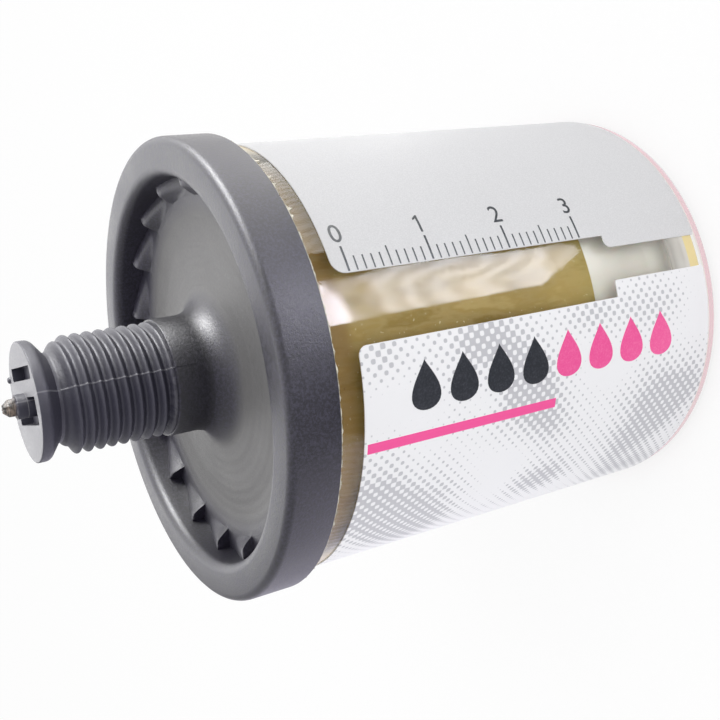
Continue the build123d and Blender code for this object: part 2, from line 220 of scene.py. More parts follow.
def bakedMesh(work, name):
    mesh = bpy.data.meshes.new(name)
    work.to_mesh(mesh)
    work.free()
    return mesh


def grownMesh(host):  # the mesh of an object with its modifiers, or of its text
    return bpy.data.meshes.new_from_object(host.evaluated_get(bpy.context.evaluated_depsgraph_get()))


def meshObject(name, verts, faces, material, sharp=32):
    mesh = bpy.data.meshes.new(name)
    mesh.from_pydata(verts, [], faces)
    mesh.validate()
    mesh.update()
    return finishObject(name, mesh, material, sharp)


def finishObject(name, mesh, material, sharp=32):
    mesh.shade_smooth()
    mesh.set_sharp_from_angle(angle=radians(sharp))
    mesh.materials.clear()
    mesh.materials.append(material)
    return linked(name, mesh)


def rounded(points, steps=5):
    # a profile of (r, z, round) in millimetres, with each round made an arc
    path = []
    for i, (r, z, radius) in enumerate(points):
        here = Vector((r, z))
        before = Vector(points[i - 1][:2]) - here
        after = Vector(points[(i + 1) % len(points)][:2]) - here
        if radius <= 0:
            path.append((r, z))
            continue
        half = before.angle(after) / 2
        reach = radius / tan(half)
        start = here + before.normalized() * reach
        middle = here + (before.normalized() + after.normalized()).normalized() * (radius / sin(half))
        first = start - middle
        turn = (pi - 2 * half) * (1 if first.cross(here - middle) > 0 else -1)
        for k in range(steps + 1):
            path.append(tuple(middle + Matrix.Rotation(turn * k / steps, 2) @ first))
    return path


def lathe(name, path, material, turns=None, shape=None, sharp=32, segments=256):
    # spins a closed profile round Z; shape(i, r, z, turn) may move a point as it goes round
    turns = turns or [2 * pi * j / segments for j in range(segments)]
    verts, faces, rings = [], [], []
    for i, (r, z) in enumerate(path):
        if r < 1e-6:
            rings.append([len(verts)])
            verts.append((0, 0, z * mm))
            continue
        rings.append(list(range(len(verts), len(verts) + len(turns))))
        for turn in turns:
            rr, zz = shape(i, r, z, turn) if shape else (r, z)
            verts.append((rr * cos(turn) * mm, rr * sin(turn) * mm, zz * mm))
    for i in range(len(rings)):
        low, high = rings[i], rings[(i + 1) % len(rings)]
        for j in range(len(turns)):
            k = (j + 1) % len(turns)
            corners = low[j % len(low)], low[k % len(low)], high[k % len(high)], high[j % len(high)]
            corners = tuple(dict.fromkeys(corners))  # a point on the axis counts once
            if len(corners) > 2:
                faces.append(corners)
    return faceOut(meshObject(name, verts, faces, material, sharp))


def faceOut(piece):  # merges doubled points and turns the faces outwards
    work = bmesh.new()
    work.from_mesh(piece.data)
    bmesh.ops.remove_doubles(work, verts=work.verts, dist=1e-7)
    bmesh.ops.recalc_face_normals(work, faces=work.faces)
    work.to_mesh(piece.data)
    work.free()
    return piece


def boxRing(name, count, turns, inner, size, high, material):
    # boxes on a circle, each pointing outwards; turns is the first turn and the step, in degrees
    ring = Geo(name)
    number = ring.size("Count", count, "NodeSocketInt")
    start = ring.size("First Turn", radians(turns[0]))
    step = ring.size("Turn Step", radians(turns[1]))
    inner = ring.size("Inner Radius", inner * mm)
    length, wide, thick = [ring.size(part, v * mm) for part, v in zip(("Length", "Width", "Thickness"), size)]
    top = ring.size("Top", high * mm)
    turn = start + ring.add("GeometryNodeInputIndex") * step
    middle = inner + length / 2
    spot = ring.join(turn.calc("COSINE") * middle, turn.calc("SINE") * middle, top - thick / 2)
    points = ring.add("GeometryNodeMeshLine", {"mode": "OFFSET"}, {"Count": number})
    points = ring.add("GeometryNodeSetPosition", None, {0: points, "Position": spot})
    one = ring.add("GeometryNodeMeshCube", None, {"Size": ring.join(length, wide, thick)})
    placed = {"Points": points, "Instance": one, "Rotation": ring.join(0.0, 0.0, turn)}
    return ring.build(name, ring.add("GeometryNodeInstanceOnPoints", None, placed), material)


def moved(piece, spot):
    piece.data.transform(Matrix.Translation((spot[0] * mm, spot[1] * mm, 0)))
    return piece


def joined(name, pieces):
    work = bmesh.new()
    for piece in pieces:
        work.from_mesh(piece.data)
    made = finishObject(name, bakedMesh(work, name), pieces[0].data.materials[0], 30)
    for piece in pieces:
        bpy.data.objects.remove(piece)
    return made


def box(node):  # lowest and highest corners in millimetres
    low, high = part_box(node)
    return [v / mm for v in low], [v / mm for v in high]


# camera, floor and lights

cameraSettings = {
    "place": (-13.53, -109.13, 101.50),
    "right": (-0.24357, -0.46831, -0.84933),
    "up": (0.96599, -0.19554, -0.16921),
    "back": (-0.08684, -0.86165, 0.50002),
    "lens": 49.43,
    "nearest": 5.0,
}


def makeCamera(s):
    data = bpy.data.cameras.new("camera")
    data.lens = s["lens"]
    data.clip_start = s["nearest"] * mm
    camera = linked("camera", data)
    turn = Matrix((s["right"], s["up"], s["back"])).transposed().to_4x4()
    camera.matrix_world = Matrix.Translation(Vector(s["place"]) * mm) @ turn
    bpy.context.scene.camera = camera


makeCamera(cameraSettings)

stageSettings = {
    "floorHalf": 900.0,
    "floorColour": rgb(250, 250, 250),
    "floorWhite": 0.8,  # share of plain white that the camera, gloss and clear plastic see
    "worldLight": 0.92,
    "flagCorners": [(-84, -34), (66, -34), (150, -290), (-200, -290)],  # black card in front
    "flagHeight": 0.2,
    "glowHeight": 0.4,
    "glowCards": [  # corners, colour and light of the bright cards on the floor
        ([(9, -44.5), (12.5, -44.5), (15, -47), (16.8, -51), (5.5, -51)], (0.88, 0.9, 1, 1), 6.5),
        ([(5.5, -51), (16.8, -51), (19.9, -57), (28.9, -75), (41.5, -99), (50, -117),
          (4, -117), (2.3, -72), (1.6, -56.5)], (0.88, 0.9, 1, 1), 11.5),
        ([(4, -117), (50, -117), (60, -141), (4, -141)], (0.9, 0.89, 1, 1), 5.5),
        ([(4, -141), (60, -141), (95, -225), (0, -225)], (0.9, 0.88, 1, 1), 25.0),
        ([(70, -99), (84, -119), (200, -225), (430, 40), (58, 20)], (1, 0.99, 0.97, 1), 4.5),
        ([(34, 34), (58, 20), (430, 40), (500, 420), (8, 420)], (1, 0.99, 0.97, 1), 1.8),
        ([(-40, -10), (-60, -51), (-98.5, -75), (-300, -200), (-560, 0), (-480, 420), (-60, 420)],
         (0.9, 0.87, 1, 1), 1.9),
    ],
}


def makeCard(name, corners, height, material, glossOnly=False):
    verts = [(x * mm, y * mm, height * mm) for x, y in corners]
    card = meshObject(name, verts, [tuple(range(len(corners)))], material)
    if glossOnly:  # seen only in reflections, as a card beside the set would be
        for ray in ("camera", "diffuse", "transmission", "shadow"):
            setattr(card, "visible_" + ray, False)


def makeFloor(s):
    mat = Mat("floor")
    lit = mat.add("ShaderNodeBsdfDiffuse", None, {"Color": s["floorColour"]})
    white = mat.add("ShaderNodeEmission", None, {"Color": (1, 1, 1, 1), "Strength": 1.0})
    path = mat.node("ShaderNodeLightPath")
    seen = Sock(mat, path.outputs["Is Camera Ray"])
    for ray in ("Is Glossy Ray", "Is Transmission Ray"):
        seen = seen.calc("MAXIMUM", Sock(mat, path.outputs[ray]))
    half = s["floorHalf"]
    corners = [(-half, -half), (half, -half), (half, half), (-half, half)]
    makeCard("floor", corners, 0, mat.finish(mat.mixed(seen * s["floorWhite"], lit, white)))


def makeCards(s):
    flag = Mat("flagCard")
    dull = flag.add("ShaderNodeBsdfDiffuse", None, {"Color": rgb(12, 12, 14)})
    makeCard("flag_card", s["flagCorners"], s["flagHeight"], flag.finish(dull), True)
    for i, (corners, colour, light) in enumerate(s["glowCards"]):
        glowing = Mat(f"glowCard{i}")
        glow = glowing.add("ShaderNodeEmission", None, {"Color": colour, "Strength": light})
        makeCard(f"glow_card_{i}", corners, s["glowHeight"], glowing.finish(glow), True)


def makeWorld(s):
    world = bpy.data.worlds.new("world")
    world.use_nodes = True
    sky = NodeTree(world.node_tree)
    soft, white = [
        sky.add("ShaderNodeBackground", None, {"Color": (1, 1, 1, 1), "Strength": strength})
        for strength in (s["worldLight"], 1.0)
    ]
    seen = sky.add("ShaderNodeLightPath", out="Is Camera Ray")
    sky.node("ShaderNodeOutputWorld", None, {0: sky.mixed(seen, soft, white)})
    bpy.context.scene.world = world


lamps = {  # place, aim, size, watts, and whether it only shows in gloss
    "sparkLamp": ((368, -65, 205), (0, 0, 60), (215, 215), 6.2, True),
    "sideLamp": ((520, -60, 120), (0, 0, 55), (380, 180), 0.4, True),
    "backLamp": ((215, 360, 300), (0, 0, 55), (670, 520), 2.65, True),
    "topLamp": ((60, 60, 480), (0, 0, 60), (460, 420), 1.2, True),
    "softLamp": ((300, -250, 500), (0, 0, 40), (400, 400), 0.7, False),
}


def makeLamp(name, place, aim, size, watts, glossOnly):
    data = bpy.data.lights.new(name, "AREA")
    data.shape = "RECTANGLE"
    data.size = size[0] * mm
    data.size_y = size[1] * mm
    data.energy = watts
    lamp = linked(name, data)
    lamp.location = Vector(place) * mm
    lamp.rotation_euler = (Vector(aim) - Vector(place)).to_track_quat("-Z", "Y").to_euler()
    lamp.visible_camera = False
    lamp.visible_diffuse = not glossOnly


makeFloor(stageSettings)
makeCards(stageSettings)
makeWorld(stageSettings)
for lampName, lampSettings in lamps.items():
    makeLamp(lampName, *lampSettings)
print("stage set")


# cap: dark moulded plastic

def capPlastic(s, gate):
    mat = Mat("capPlastic")
    x, y, z = mat.split(mat.place)
    radius = mat.radius
    speckle = mat.noise(3.2, 3.0, 0.8)
    cloud = mat.noise(0.11)
    tone = speckle.smooth(0.4, 0.66) * 0.8 + cloud.smooth() * 0.2
    colour = mat.blend(tone, rgb(20, 19, 28), rgb(52, 49, 66))
    # painted light: the outlet and its thread get a lighter colour for the light their facets catch
    outlet = z.smooth(s["bossTop"] - 0.1, s["bossTop"] + 0.7)
    colour = mat.blend(outlet * 0.75, colour, rgb(55, 54, 69))
    # painted reflection: the dished floor gets a paler colour for the bright light it reflects
    dish = radius.smooth(s["bossRadius"] + 1, s["bossRadius"] + 3)
    dish = dish * (1 - radius.smooth(s["dishLightTo"], s["toothRadius"] + 0.3))
    dish = dish * z.between(s["recessFloor"] - 0.1, s["toothHigh"] + 0.1)
    colour = mat.blend(dish * 0.75, colour, rgb(100, 99, 98))
    # painted light: the disc's flat face gets a lighter colour for the light it reflects
    flat = z.between(gate["face"] - 0.03, gate["face"] + 0.03)
    colour = mat.blend(flat * 0.75, colour, rgb(136, 135, 140))
    # painted highlight: the crests of the teeth are lightened in patches for the light they catch
    tip = z.smooth(s["toothHigh"] - 0.45, s["toothHigh"] - 0.1) * z.calc("LESS_THAN", s["toothHigh"] + 0.02)
    tip = tip * radius.between(s["toothRadius"], s["recessRadius"] - 0.3)
    tipHighlight = mat.noise(1.3, 2.0, 0.6).smooth(0.4, 0.6) * tip
    cut = mat.noise(1.1, 2.0, 0.6).smooth(0.44, 0.6)
    cut = cut * z.between(s["bossTop"] + 0.1, s["bossTop"] + 0.75)
    # painted highlight: the parting line ridge is lightened for the light it catches
    turn = y.calc("ARCTAN2", x) - radians(s["partingTurn"])
    partingHighlight = (1 - (turn.calc("SINE").calc("ABSOLUTE") * radius).smooth(0.02, 0.13)) * outlet
    # the painted highlights of the tooth crests and the parting line are blended in here, with the paler cut
    # marks
    colour = mat.blend(tipHighlight * 0.35 + partingHighlight * 0.4 + cut * 0.1, colour, rgb(150, 149, 156))
    streak = mat.noise(1.0, 3.0, 0.6, mat.join(x * 1.1, y * 1.1, z * 5.0))
    torn = z.smooth(gate["gateTop"] - 0.05, gate["gateTop"] + 0.25)
    ragged = mat.blend(streak.smooth(0.4, 0.66), rgb(38, 31, 28), rgb(126, 110, 98))
    colour = mat.blend(torn, colour, ragged)
    # painted shade: the side of the outlet boss above the floor is darkened for the shade it stands in
    boss = z.between(s["recessFloor"] + 3.2, s["bossTop"] - 0.2)
    boss = boss * (1 - radius.smooth(s["bossRadius"] + 0.6, s["bossRadius"] + 2))
    colour = mat.blend(boss * 0.5, colour, rgb(14, 13, 18))
    rough = cloud.smooth() * 0.06 + speckle.smooth(0.35, 0.7) * 0.12 + outlet * 0.08 + dish * 0.12 + 0.4
    rings = (radius * 5.2).calc("SINE") * radius.between(s["bossRadius"] + 3, s["toothRadius"])
    rings = rings * z.calc("LESS_THAN", s["ringsTo"])
    grain = mat.noise(3.8, 3.0, 0.75)
    normal = mat.bump(grain * 0.6 + rings * 0.14, 0.5, 0.00012)
    return mat.finish(mat.plastic(colour, rough, normal))


capSettings = {
    "face": 62.0,
    "fit": 0.1,  # between the skirt and the cup
    "lip": 0.24,  # the skirt ends this far above the cap's underside
    "lipRound": 0.12,
    "plugRadius": 24.15,  # the part of the cap inside the cup
    "turnSteps": 360,
    "teeth": 18,
    "firstDrop": -80.0,  # degrees round from +X
    "dropEdges": (-0.55, -0.04, 0.04, 0.5),  # degrees either side of a drop
    "toothShares": (0, 0.06, 0.3, 0.5, 0.62, 0.75, 0.88, 1),  # rings across a tooth
    "toothFlat": 0.42,  # share of a tooth's width before its inner end slopes
    "toothBroken": 0.09,
    "toothFoot": 0.12,
    "toothLow": 57.6,
    "toothHigh": 59.8,
    "toothRadius": 20.3,
    "recessRadius": 22.6,
    "recessFloor": 57.5,
    "dishFloor": 58.2,
    "bossRadius": 6.8,
    "bossTop": 64.9,
    "flareRound": 3.5,
    "edgeRound": 0.9,
    "mouthRound": 1.15,
    "cove": 0.6,
    "coveFrom": 16.0,
    "dishLightTo": 17.5,  # the floor is painted lighter inside this radius, as painted reflection
    "ripple": 0.03,  # faint rings in the floor
    "ringsTo": 59.0,
    "neckRadius": 5.0,
    "neckAt": 77.05,
    "crest": 6.58,
    "root": 5.92,
    "pitch": 1.337,
    "phase": 0.553,
    "threadStart": 65.05,
    "threadEnd": 75.3,
    "partingTurn": -90.3,
    "partingEdges": (-1.5, -1.0, -0.65, -0.35, 0.0, 0.35, 0.65, 1.0, 1.5),
    "partingHigh": 0.05,
    "partingWide": 0.07,
}

discSettings = {
    "radius": 6.65,
    "back": 78.55,
    "backRound": 0.8,
    "face": 79.75,
    "rim": 0.15,
    "pocketDepth": 1.3,
    "pocketTurn": -8.0,
    "pockets": [((-0.97, -0.5), (3.05, 9.0)), ((3.12, -0.4), (1.45, 9.0))],  # middle, size
    "pocketBevel": 0.12,
    "gateAt": (-0.3, 0.0),
    "gateRadius": 1.35,
    "gateTop": 80.85,
    "nibTop": 82.2,
    "nibRough": (0.28, 0.18),  # share of its radius, and height
    "nubAt": (3.45, 5.35),
    "nubRadius": 0.55,
}


def capTurns(s):  # even steps, with more at the drops and the parting line
    step = 360 / s["turnSteps"]
    marks = {round(i * step, 4) for i in range(s["turnSteps"])}
    pitch = 360 / s["teeth"]
    for k in range(s["teeth"]):
        drop = (s["firstDrop"] + k * pitch) % 360
        for off in s["dropEdges"]:
            marks.add(round((drop + off) % 360, 4))
        marks.discard(round(drop, 4))
    for side in (0, 180):
        for off in s["partingEdges"]:
            marks.add(round((s["partingTurn"] + side + off) % 360, 4))
    return [radians(m) for m in sorted(marks)]


def rampHeight(s, turn):  # climbs anticlockwise, drops at each mark, with its crest a little broken
    pitch = 360 / s["teeth"]
    share = ((degrees(turn) - s["firstDrop"]) % pitch) / pitch
    height = s["toothLow"] + (s["toothHigh"] - s["toothLow"]) * share
    return height - (s["toothBroken"] if share > 0.99 else 0.0)


def threadRadius(s, z, turn):
    lead = s["pitch"] * turn / (2 * pi)
    share = ((z - lead) / s["pitch"] + s["phase"]) % 1.0
    wave = (0.5 - 0.5 * cos(2 * pi * share)) ** 1.1
    fade = min(max((z - s["threadStart"]) / 0.5, 0), 1)
    over = min(max((z - s["threadEnd"]) / (s["neckAt"] - 0.15 - s["threadEnd"]), 0), 1)
    depth = (s["crest"] - s["root"]) * (1 - wave) * fade * (1 - over)
    return s["crest"] - depth + (s["neckRadius"] - s["crest"]) * over ** 1.3


def capProfile(s, low, outer, cup):  # points of the section, and which of them are teeth or thread
    deep, groove = low[2], cup[0] + s["fit"]
    boss, recess, tooth, flare = s["bossRadius"], s["recessRadius"], s["toothRadius"], s["flareRound"]
    floor, bossTop, neckAt = s["recessFloor"], s["bossTop"], s["neckAt"]
    path = rounded([
        (0, deep, 0),
        (s["plugRadius"], deep, 0),
        (s["plugRadius"], cup[2], 0),
        (groove, cup[2], 0),
        (groove, deep + s["lip"], 0),
        (outer, deep + s["lip"], s["lipRound"]),
        (outer, s["face"], s["edgeRound"]),
        (recess, s["face"], s["mouthRound"]),
        (recess, s["toothHigh"] + 0.3, 0),
    ], 6)
    teeth = range(len(path), len(path) + len(s["toothShares"]))
    width = recess - tooth
    path += [(recess - width * share, s["toothHigh"]) for share in s["toothShares"]]
    foot = tooth - s["toothFoot"]
    path.append((foot, floor + s["cove"]))
    for k in range(1, 16):  # dished floor, coved at the foot of the teeth
        share = k / 16
        r = foot + (boss + flare - tooth) * share
        z = floor + (s["dishFloor"] - floor) * share + s["ripple"] * sin(share * 14)
        cove = max(r - s["coveFrom"], 0) / (tooth - s["coveFrom"])
        path.append((r, z + s["cove"] * cove ** 2))
    for k in range(13):
        turn = pi / 2 * k / 12
        path.append((boss + flare - flare * sin(turn), s["dishFloor"] + flare - flare * cos(turn)))
    for inset, drop in ((0, 0.12), (0.04, 0.03), (0.12, 0)):  # the boss's rounded top edge
        path.append((boss - inset, bossTop - drop))
    threadFrom = len(path)
    z = bossTop + 0.01
    while z < neckAt - 0.16:
        path.append((s["crest"], z))
        z += s["pitch"] / 14
    path.append((s["neckRadius"], neckAt - 0.1))
    thread = range(threadFrom, len(path))
    path += [(s["neckRadius"], neckAt), (0.0, neckAt)]
    return path, teeth, thread


def makeCap(s):
    low, high = box("base_cap")
    outer = min(high[0], high[1], -low[0], -low[1])
    path, teeth, thread = capProfile(s, low, outer, box("container")[1])
    width = s["recessRadius"] - s["toothRadius"]

    def shape(i, r, z, turn):
        if i in teeth:  # the tooth's inner end slopes
            inward = max((s["recessRadius"] - r) / width - s["toothFlat"], 0) / (1 - s["toothFlat"])
            height = (rampHeight(s, turn) - s["recessFloor"]) * (1 - 0.7 * min(inward, 1) ** 1.3)
            return r, s["recessFloor"] + max(height, s["cove"])
        if i in thread:
            r = threadRadius(s, z, turn)
        if z > s["bossTop"] - 0.1:
            for side in (0, pi):
                away = (turn - radians(s["partingTurn"]) - side + pi) % (2 * pi) - pi
                r += s["partingHigh"] * exp(-((away * r / s["partingWide"]) ** 2))
        return r, z

    return lathe("cap", path, capPlastic(s, discSettings), capTurns(s), shape, 28)


def makeDisc(s, neck, material):
    disc = lathe("disc", rounded([
        (0, neck["neckAt"], 0),
        (neck["neckRadius"], neck["neckAt"], 0),
        (neck["neckRadius"], neck["neckAt"] + 0.25, 0.12),
        (s["radius"], s["back"], s["backRound"]),
        (s["radius"], s["face"], s["rim"]),
        (0, s["face"], 0),
    ]), material, segments=128)
    turned = Matrix.Rotation(radians(s["pocketTurn"]), 4, "Z")
    lifted = Matrix.Translation((0, 0, s["face"] * mm))
    for (x, y), (wide, long) in s["pockets"]:
        work = bmesh.new()
        spot = lifted @ turned @ Matrix.Translation((x * mm, y * mm, 0))
        size = Matrix.Diagonal((wide * mm, long * mm, s["pocketDepth"] * 2 * mm, 1))
        bmesh.ops.create_cube(work, size=1, matrix=spot @ size)
        bmesh.ops.bevel(work, geom=work.edges[:], offset=s["pocketBevel"] * mm, segments=2, affect="EDGES")
        cutter = linked("cutter", bakedMesh(work, "cutter"))
        cut = disc.modifiers.new("pocket", "BOOLEAN")
        cut.object = cutter
        cut.solver = "EXACT"
        disc.data = grownMesh(disc)
        disc.modifiers.clear()
        bpy.data.objects.remove(cutter)
    return disc


def makeGate(s, material):  # the broken post that the moulding was filled through
    floor = s["face"] - s["pocketDepth"] - 0.05
    path = rounded([
        (0, floor, 0),
        (s["gateRadius"], floor, 0),
        (s["gateRadius"], s["gateTop"], 0.15),
        (1.0, s["gateTop"] + 0.05, 0.1),
        (0.86, s["gateTop"] + 0.7, 0.2),
        (0.42, s["nibTop"], 0.2),
        (0, s["nibTop"] - 0.05, 0),
    ], 4)

    def shape(i, r, z, turn):
        if z > s["gateTop"]:
            wide, tall = s["nibRough"]
            r *= 1 + wide * noise.noise(Vector((cos(turn) * 1.4, sin(turn) * 1.4, z * 1.6)))
            z += tall * noise.noise(Vector((cos(turn) * 2.2, sin(turn) * 2.2, z + 7)))
        return r, min(z, s["nibTop"])

    return moved(lathe("gate", path, material, None, shape, 50, 64), s["gateAt"])


def makeNub(s, material):  # small mark on the disc's rim
    low, high = s["face"] - 0.5, s["face"] + 0.3
    path = rounded([(0, low, 0), (s["nubRadius"], low, 0), (0.3, high, 0.25), (0, high, 0)])
    return moved(lathe("nub", path, material, segments=24), s["nubAt"])


capBody = makeCap(capSettings)
capMaterial = capBody.data.materials[0]
capPiece = joined("cap_moulding", [
    capBody,
    makeDisc(discSettings, capSettings, capMaterial),
    makeGate(discSettings, capMaterial),
    makeNub(discSettings, capMaterial),
])
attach(capPiece, "casing")
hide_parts("base_cap")
print("cap made", len(capPiece.data.polygons))

flashSettings = {
    "inner": 25.7,
    "outer": 26.97,
    "low": 56.02,
    "high": 56.26,
    "raggedFrom": -71.0,  # degrees round from +X, where it stands out most
    "raggedTo": -48.0,
    "raggedDeep": 0.45,
}


def makeFlash(s):  # thin ragged edge left where the cap was welded to the cup
    path = [(s["inner"], s["low"]), (s["outer"], s["low"]), (s["outer"], s["high"]), (s["inner"], s["high"])]

    def shape(i, r, z, turn):
        ragged = s["raggedFrom"] < (degrees(turn) + 180) % 360 - 180 < s["raggedTo"]
        rag = noise.noise(Vector((turn * 31, 3.1, 0))) + 0.6 * noise.noise(Vector((turn * 97, 1.7, 0)))
        if i in (1, 2):
            r -= max(0.0, 0.1 - 0.2 * rag)
        if i in (0, 1):
            z += 0.11 - 0.05 * rag
        if i == 1 and ragged:
            spike = noise.noise(Vector((turn * 140, 5.7, 0)))
            z -= min(7 * max(rag, 0) * max(spike - 0.05, 0), s["raggedDeep"])
        return min(r, s["outer"]), z

    tones = rgb(150, 144, 128), rgb(214, 208, 190)
    material = cloudedLook("flashPlastic", *tones, (1.4, 3.0, 0.6), (0.35, 0.65), 0.5)
    flash = lathe("weld_flash", path, material, None, shape, 40, 720)
    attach(flash, "casing")


makeFlash(flashSettings)


# clear cup

cupSettings = {
    "wall": 1.3,
    "rimRound": 1.2,
    "edgeRound": 0.1,
    "floorRound": 0.8,
    "collarRound": 0.15,
    "floorTop": 2.7,
    "headFace": 1.2,
    "rimInner": 23.0,
    "collarOuter": 15.4,
    "collarInner": 14.0,
    "collarTop": 9.0,
    "seatRadius": 15.8,
    "seatTop": 1.9,
    "frosted": (2.4, 2.6, 5.2, 8.8),  # heights where the frosted band starts and fades
    # heights of the painted yellow glow at the cup's floor edge
    "edgeGlow": (3.9, 4.15),
    # heights of the painted pink glow of the end label in the rim
    "labelGlow": (1.5, 2.2),
    "filled": (52.5, 53.0),
    "skin": (25.2, 25.45),  # radii of the wall's outer skin
}


def clearPlastic(s):
    mat = Mat("clearPlastic")
    x, y, z = mat.split(mat.place)
    ripple = mat.noise(0.22, at=mat.join(x, y, z * 0.25))
    gloss = {"Color": (1, 1, 1, 1), "Roughness": 0.07, "Normal": mat.bump(ripple, 0.3, 0.0003)}
    gloss = mat.add("ShaderNodeBsdfGlossy", None, gloss)
    through = mat.add("ShaderNodeBsdfTransparent", None, {"Color": (0.98, 0.98, 0.96, 1)})
    edge = mat.add("ShaderNodeFresnel", None, {"IOR": 1.45})
    inside = mat.add("ShaderNodeNewGeometry", out="Backfacing")
    drift = mat.noise(1.0, 1.0, 0.4, mat.join(x * 0.3, y * 0.3, z * 0.12))
    waves = (z * 1.3 + x * x * 0.4 + drift * 14).calc("SINE")  # nested curves left by the moulding
    clear = mat.mixed(edge * (1 - inside) * (waves * 0.2 + 0.97), through, gloss)
    tint = mat.blend(mat.noise(0.5).smooth(), rgb(208, 204, 196), rgb(216, 213, 206))
    # painted glow: a yellow band near the cup's floor stands in for light gathered in the clear wall's edge
    tint = mat.blend(1 - z.smooth(*s["edgeGlow"]), tint, rgb(234, 212, 142))
    # painted glow: the end label's pink, as if lit and seen through the rim, is painted into the wall and made
    # cloudy
    rim = 1 - z.smooth(*s["labelGlow"])
    tint = mat.blend(rim, tint, rgb(230, 150, 174))
    slant = mat.add("ShaderNodeLayerWeight", None, {"Blend": 0.5}, "Facing")
    filling = slant.smooth(0.6, 0.8) * z.smooth(*s["filled"])
    tint = mat.blend(filling, tint, rgb(196, 178, 134))  # at a slant the wall shows the grease behind it
    frosted = z.smooth(*s["frosted"][:2]) * (1 - z.smooth(*s["frosted"][2:]))
    cloudy = (frosted * 0.88 + rim * 0.45 + filling * 0.8) * mat.radius.smooth(*s["skin"])
    return mat.finish(mat.mixed(cloudy, clear, mat.plastic(tint, 0.3)))


def makeCup(s):
    high = box("container")[1]
    outer, inner = high[0], high[0] - s["wall"]
    edge, collar = s["edgeRound"], s["collarRound"]
    cup = lathe("clear_cup", rounded([
        (outer, 0, s["rimRound"]),
        (outer, high[2], edge),
        (inner, high[2], edge),
        (inner, s["floorTop"], s["floorRound"]),
        (s["collarOuter"], s["floorTop"], collar * 2),
        (s["collarOuter"], s["collarTop"], collar),
        (s["collarInner"], s["collarTop"], collar),
        (s["collarInner"], s["seatTop"], 0),
        (s["seatRadius"], s["seatTop"], 0),
        (s["seatRadius"], s["headFace"], edge),
        (s["rimInner"], s["headFace"], edge * 2),
        (s["rimInner"], 0, collar * 2),
    ], 6), clearPlastic(s))
    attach(cup, "casing")
    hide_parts("container")


makeCup(cupSettings)
print("cup made")


# grease, piston and seal

greaseSettings = {
    "gap": 0.02,
    "film": 0.06,  # smear between the seal and the cup
    "filmReach": 0.75,
    "hollowTop": 52.3,  # the middle is left open above the crown, which rises into it
    "hollowClear": 0.05,
    "edge": (1.4, 1.2),  # width and rise of the slope inside the seal
    "keep": 0.1293,
    "pale": (20.5, 31.0),  # heights where the paler grease at the foot ends
    "dark": (51.8, 53.4),  # and where the painted shade under the cap starts
}


def greaseLook(s):
    mat = Mat("greasePaste")
    x, y, z = mat.split(mat.place)
    swirl = mat.noise(0.3, 4.0, 0.6, mat.join(x, y, z * 0.3))
    flow = (swirl * 42).calc("SINE") * 0.5 + 0.5
    fleck = mat.noise(2.4, 1.0).smooth(0.72, 0.76)
    dark = mat.noise(0.8, 1.0).smooth(0.8, 0.83)
    colour = mat.blend(swirl.smooth(0.3, 0.72), rgb(153, 131, 76), rgb(183, 159, 102))
    colour = mat.blend(flow * 0.16, colour, rgb(216, 200, 160))
    colour = mat.blend((1 - z.smooth(*s["pale"])) * 0.4, colour, rgb(206, 184, 120))
    colour = mat.blend(fleck * 0.6, colour, rgb(232, 222, 190))
    colour = mat.blend(dark * 0.6, colour, rgb(96, 70, 40))
    # painted shade: the grease is darkened under the cap's edge
    colour = mat.blend(z.smooth(*s["dark"]) * 0.5, colour, rgb(136, 102, 70))
    fixed = {"Specular_IOR_Level": 0.04, "Subsurface_Weight": 0.1, "Subsurface_Scale": 0.002}
    return mat.finish(mat.plastic(colour, 0.5, mat.bump(swirl, 0.2, 0.0004), **fixed))


def makeGrease(s, hollow, seal, plate):
    outer = box("piston_seal")[1][0] + s["gap"] + s["film"]
    hollow += s["hollowClear"]
    wide, rise = s["edge"]
    grease = lathe("grease", [
        (0, s["hollowTop"]),
        (hollow, s["hollowTop"]),
        (hollow, seal + rise),
        (outer - wide, seal + s["gap"]),
        (outer - s["film"], seal + s["gap"]),
        (outer - s["film"], seal - s["filmReach"]),
        (outer, seal - s["filmReach"]),
        (outer, plate),
        (0, plate),
    ], greaseLook(s))
    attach(grease, "casing")
    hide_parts("grease_charge")
    plate * mm
    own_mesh(grease)


def pistonLook():
    mat = Mat("pistonPlastic")
    x, y, z = mat.split(mat.place)
    flow = mat.noise(1.4, 3.0, 0.6, mat.join(x, y, z * 0.2))
    colour = mat.blend(mat.noise(0.2).smooth(), rgb(238, 233, 229), rgb(244, 240, 236))
    colour = mat.blend(flow.smooth(0.45, 0.7) * 0.2, colour, rgb(222, 220, 210))
    normal = mat.bump(flow, 0.15, 0.0001)
    return mat.finish(mat.plastic(colour, 0.35, normal, Subsurface_Weight=0.2, Subsurface_Scale=0.002))


pistonSettings = {
    "wall": 1.3,
    "crownRadius": 19.6,
    "crownWall": 1.6,
    "shoulderRadius": 22.7,
    "edge": 0.2,
    "ribs": 8,
    "ribWall": 1.2,
    "ribDrop": 4.6,
    "ribSink": 0.3,  # ribs and hub reach this far into the crown
    "ribShort": 0.2,  # and the ribs end this far inside its wall
    "hubRadius": 5.0,
    "hubBore": 3.5,
}


